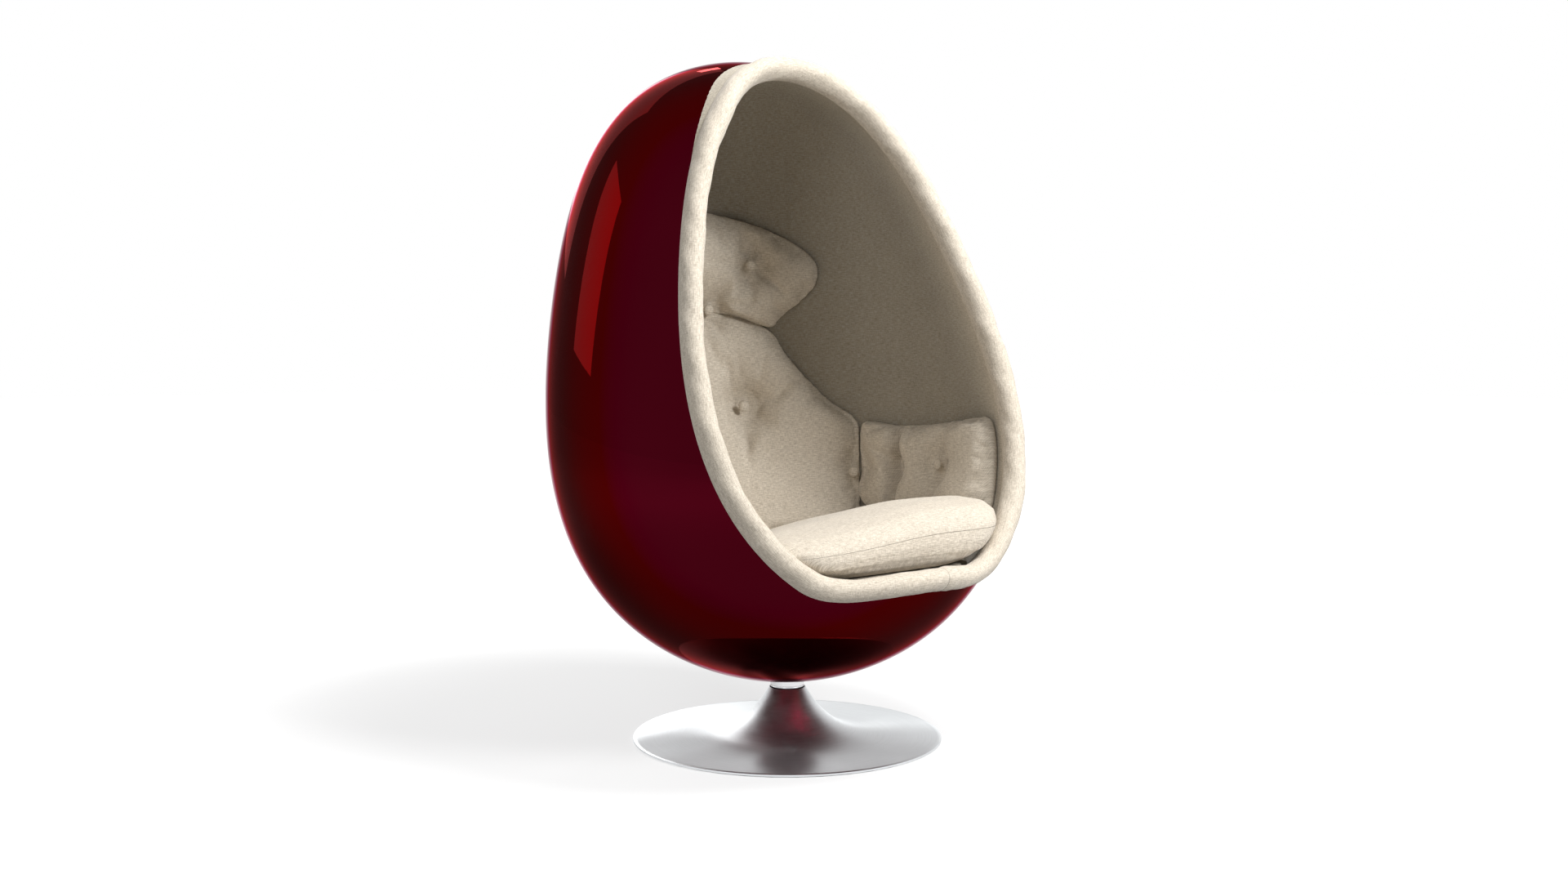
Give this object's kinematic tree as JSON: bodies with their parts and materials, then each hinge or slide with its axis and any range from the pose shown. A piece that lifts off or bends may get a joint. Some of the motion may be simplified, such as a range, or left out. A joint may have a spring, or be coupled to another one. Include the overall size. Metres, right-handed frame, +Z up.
{
  "type": "pod chair",
  "caption": "Egg-shaped pod chair: a leaning glossy shell with a padded, buttoned inside and a loose seat cushion, turning on a brushed trumpet base.",
  "frame": {"origin": "on the floor, on the swivel axis, at the centre of the round base's underside", "axes": "+Z up along the swivel axis; the opening faces -Y; +X is to the right seen from the front"},
  "size_m": [0.8894, 0.8773, 1.2972],
  "materials": {
    "lacquer": "high gloss lacquered fibreglass, deep dark red",
    "linen": "woven cream linen, slightly slubbed",
    "foam": "cloth-faced upholstery foam",
    "plywood": "plain plywood",
    "brushed": "circular brushed",
    "polished": "polished",
    "cast_iron": "as cast, blackened",
    "steel": "turned, oiled",
    "nylon": "moulded",
    "felt": "dense felt"
  },
  "bodies": {
    "base": {"floor_felt": "felt", "ballast": "cast_iron", "base_trumpet": "brushed", "column": "steel", "lower_bush": "nylon", "upper_bush": "nylon", "thrust_washer": "nylon", "flange_bolt_1": "steel", "flange_bolt_2": "steel", "flange_bolt_3": "steel", "flange_bolt_4": "steel"},
    "pod": {"spindle": "steel", "retaining_ring": "steel", "swivel_collar": "polished", "mount_block": "plywood", "plate_bolt_1": "steel", "plate_bolt_2": "steel", "plate_bolt_3": "steel", "plate_bolt_4": "steel", "outer_shell": "lacquer", "lining": "foam", "lip_roll": "linen", "seat_board": "plywood", "seat_foam": "foam", "head_pad": "linen", "back_pad": "linen", "side_pad_right": "linen", "side_pad_left": "linen", "head_button_right": "linen", "head_button_left": "linen", "neck_button_right": "linen", "neck_button_left": "linen", "back_button_right": "linen", "back_button_left": "linen", "seam_button_right": "linen", "seam_button_left": "linen", "side_button_right": "linen", "side_button_left": "linen"},
    "cushion": {"seat_cushion": "linen"}
  },
  "joints": [
    {"name": "swivel", "type": "hinge", "parent": "base", "child": "pod", "pos_m": [0, 0, 0.1], "axis": [0, 0, 1], "continuous": true},
    {"name": "cushion_lift", "type": "slide", "parent": "pod", "child": "cushion", "axis": [0, 0, 1], "range_m": [0, 0.2]}
  ]
}
